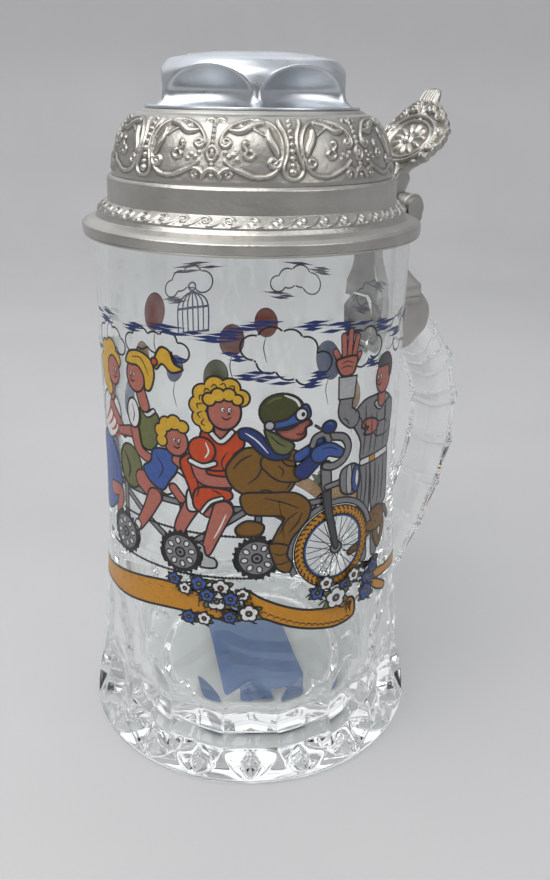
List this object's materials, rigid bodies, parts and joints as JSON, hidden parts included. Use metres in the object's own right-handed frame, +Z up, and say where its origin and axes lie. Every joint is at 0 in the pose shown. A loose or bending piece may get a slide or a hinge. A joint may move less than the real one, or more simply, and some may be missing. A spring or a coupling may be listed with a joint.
{
  "type": "beer stein",
  "caption": "Half-litre glass beer stein with a scooped foot, a fused glass handle and a hinged pewter lid with a thumblift and a crown knob.",
  "frame": {"origin": "centre of the foot, on the surface it stands on", "axes": "+Z up along the mug's axis, +X from that axis towards the handle, +Y along the hinge pin"},
  "size_m": [0.1317, 0.1, 0.1896],
  "materials": {
    "glass": "clear pressed glass, faintly grey-green",
    "pewter": "satin antiqued pewter, darker in the hollows of the relief",
    "knob_silver": "bright satin silver casting",
    "pin_steel": "dull turned steel",
    "lining": "dark matt packing",
    "label": "blue film label"
  },
  "bodies": {
    "mug": {"glass_body": "glass", "glass_handle": "glass", "base_label": "label", "handle_strap": "pewter", "strap_lining": "lining", "hinge_pin": "pin_steel", "pin_end_caps": "pewter"},
    "lid": {"lid_rim": "pewter", "lid_dome": "pewter", "lid_knob": "knob_silver", "knob_screw": "pin_steel", "knob_washer": "pin_steel", "lid_tang": "pewter", "thumblift": "pewter"}
  },
  "joints": [
    {"name": "lid_hinge", "type": "hinge", "parent": "mug", "child": "lid", "pos_m": [0.0505, 0, 0.1495], "axis": [0, 1, 0], "range_deg": [0, 105]}
  ]
}
